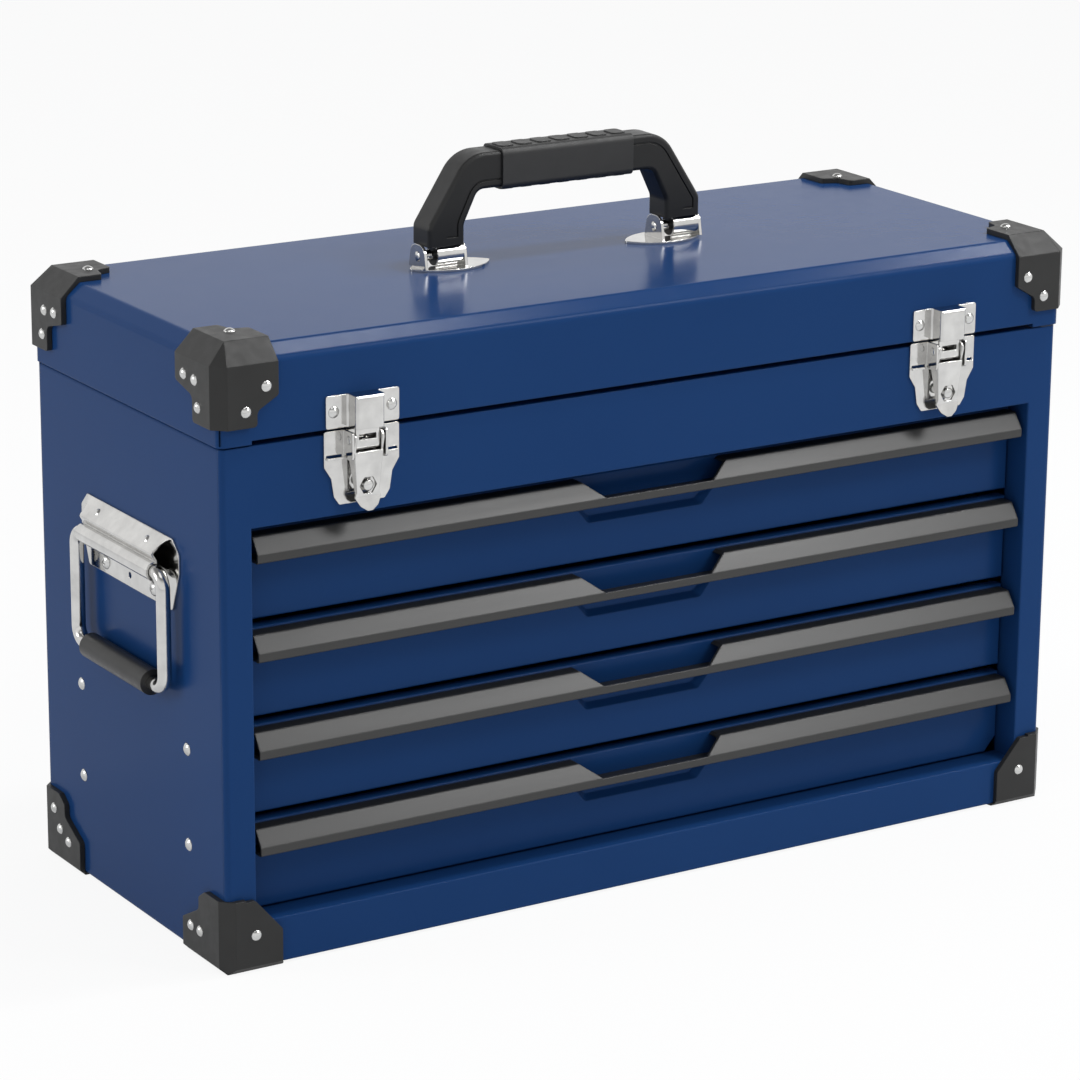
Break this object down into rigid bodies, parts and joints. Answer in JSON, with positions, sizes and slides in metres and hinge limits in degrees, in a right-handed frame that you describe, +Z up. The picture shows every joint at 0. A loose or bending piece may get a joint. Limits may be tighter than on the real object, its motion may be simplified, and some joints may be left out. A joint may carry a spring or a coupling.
{
  "type": "portable tool box with drawers",
  "caption": "Portable steel tool box: a hinged lid over a top compartment, drawers with full-width pull rails below, toggle latches, corner guards and carrying handles.",
  "frame": {"origin": "centre of the case's footprint, on the surface that the corner guards stand on", "axes": "+X to the right along the front, +Y from the front to the back, +Z up"},
  "size_m": [0.5484, 0.2243, 0.3895],
  "materials": {
    "blue_paint": "semi-gloss",
    "rail_grey": "satin",
    "guard_black": "fine texture",
    "handle_black": "satin",
    "grip_rubber": "soft matte",
    "bail_grip_black": "satin",
    "slide_zinc": "zinc plated",
    "nickel_plate": "bright plated",
    "bright_fastener": "bright plated",
    "hinge_pin_steel": "plain"
  },
  "bodies": {
    "case": {"case_wrapper": "blue_paint", "back_panel": "blue_paint", "front_frame": "blue_paint", "compartment_floor": "blue_paint", "slide_rivets": "bright_fastener", "base_guard_rivets": "bright_fastener", "hinge_case_leaf": "blue_paint", "hinge_pin": "hinge_pin_steel", "latch_studs": "bright_fastener", "latch_pivots": "bright_fastener", "bail_bracket_screws": "bright_fastener", "left_latch_base": "nickel_plate", "right_latch_base": "nickel_plate", "left_bail_bracket": "nickel_plate", "right_bail_bracket": "nickel_plate", "outer_slides_1": "slide_zinc", "outer_slides_2": "slide_zinc", "outer_slides_3": "slide_zinc", "outer_slides_4": "slide_zinc", "base_guard_front_left": "guard_black", "base_guard_front_right": "guard_black", "base_guard_rear_left": "guard_black", "base_guard_rear_right": "guard_black"},
    "lid": {"lid_shell": "blue_paint", "hinge_lid_leaf": "blue_paint", "lid_rivets": "bright_fastener", "left_latch_keeper": "nickel_plate", "right_latch_keeper": "nickel_plate", "top_handle_bracket_left": "nickel_plate", "top_handle_bracket_right": "nickel_plate", "top_handle_pins": "bright_fastener", "top_handle_springs": "nickel_plate", "lid_guard_front_left": "guard_black", "lid_guard_front_right": "guard_black", "lid_guard_rear_left": "guard_black", "lid_guard_rear_right": "guard_black"},
    "top_handle": {"top_handle_core": "handle_black", "top_handle_grip": "grip_rubber"},
    "left_bail": {"left_bail": "nickel_plate", "left_bail_grip": "bail_grip_black"},
    "left_lever": {"left_latch_lever": "nickel_plate", "left_link_pin": "bright_fastener"},
    "left_link": {"left_latch_link": "nickel_plate"},
    "right_bail": {"right_bail": "nickel_plate", "right_bail_grip": "bail_grip_black"},
    "right_lever": {"right_latch_lever": "nickel_plate", "right_link_pin": "bright_fastener"},
    "right_link": {"right_latch_link": "nickel_plate"},
    "drawer_1": {"drawer_pan_1": "blue_paint", "drawer_pull_1": "rail_grey", "inner_runners_1": "slide_zinc"},
    "drawer_2": {"drawer_pan_2": "blue_paint", "drawer_pull_2": "rail_grey", "inner_runners_2": "slide_zinc"},
    "drawer_3": {"drawer_pan_3": "blue_paint", "drawer_pull_3": "rail_grey", "inner_runners_3": "slide_zinc"},
    "drawer_4": {"drawer_pan_4": "blue_paint", "drawer_pull_4": "rail_grey", "inner_runners_4": "slide_zinc"}
  },
  "joints": [
    {"name": "lid_hinge", "type": "hinge", "parent": "case", "child": "lid", "pos_m": [0, 0.10695, 0.277], "axis": [-1, 0, 0], "range_deg": [0, 100]},
    {"name": "top_handle_fold", "type": "hinge", "parent": "lid", "child": "top_handle", "pos_m": [0, 0, 0.3341], "axis": [-1, 0, 0], "range_deg": [0, 60]},
    {"name": "left_bail_swing", "type": "hinge", "parent": "case", "child": "left_bail", "pos_m": [-0.2673, -0.004, 0.2003], "axis": [0, 1, 0], "range_deg": [0, 100]},
    {"name": "right_bail_swing", "type": "hinge", "parent": "case", "child": "right_bail", "pos_m": [0.2673, -0.004, 0.2003], "axis": [0, -1, 0], "range_deg": [0, 100]},
    {"name": "left_latch_swing", "type": "hinge", "parent": "case", "child": "left_lever", "pos_m": [-0.181, -0.11, 0.2738], "axis": [-1, 0, 0], "range_deg": [0, 110]},
    {"name": "left_link_swing", "type": "hinge", "parent": "left_lever", "child": "left_link", "pos_m": [-0.181, -0.10914, 0.2703], "axis": [-1, 0, 0], "range_deg": [-82.5, 0]},
    {"name": "right_latch_swing", "type": "hinge", "parent": "case", "child": "right_lever", "pos_m": [0.181, -0.11, 0.2738], "axis": [-1, 0, 0], "range_deg": [0, 110]},
    {"name": "right_link_swing", "type": "hinge", "parent": "right_lever", "child": "right_link", "pos_m": [0.181, -0.10914, 0.2703], "axis": [-1, 0, 0], "range_deg": [-82.5, 0]},
    {"name": "drawer_1_slide", "type": "slide", "parent": "case", "child": "drawer_1", "axis": [0, -1, 0], "range_m": [0, 0.15]},
    {"name": "drawer_2_slide", "type": "slide", "parent": "case", "child": "drawer_2", "axis": [0, -1, 0], "range_m": [0, 0.15]},
    {"name": "drawer_3_slide", "type": "slide", "parent": "case", "child": "drawer_3", "axis": [0, -1, 0], "range_m": [0, 0.15]},
    {"name": "drawer_4_slide", "type": "slide", "parent": "case", "child": "drawer_4", "axis": [0, -1, 0], "range_m": [0, 0.15]}
  ],
  "couplings": [
    {"joint": "left_link_swing", "follows": "left_latch_swing", "ratio": -0.75},
    {"joint": "right_link_swing", "follows": "right_latch_swing", "ratio": -0.75}
  ]
}
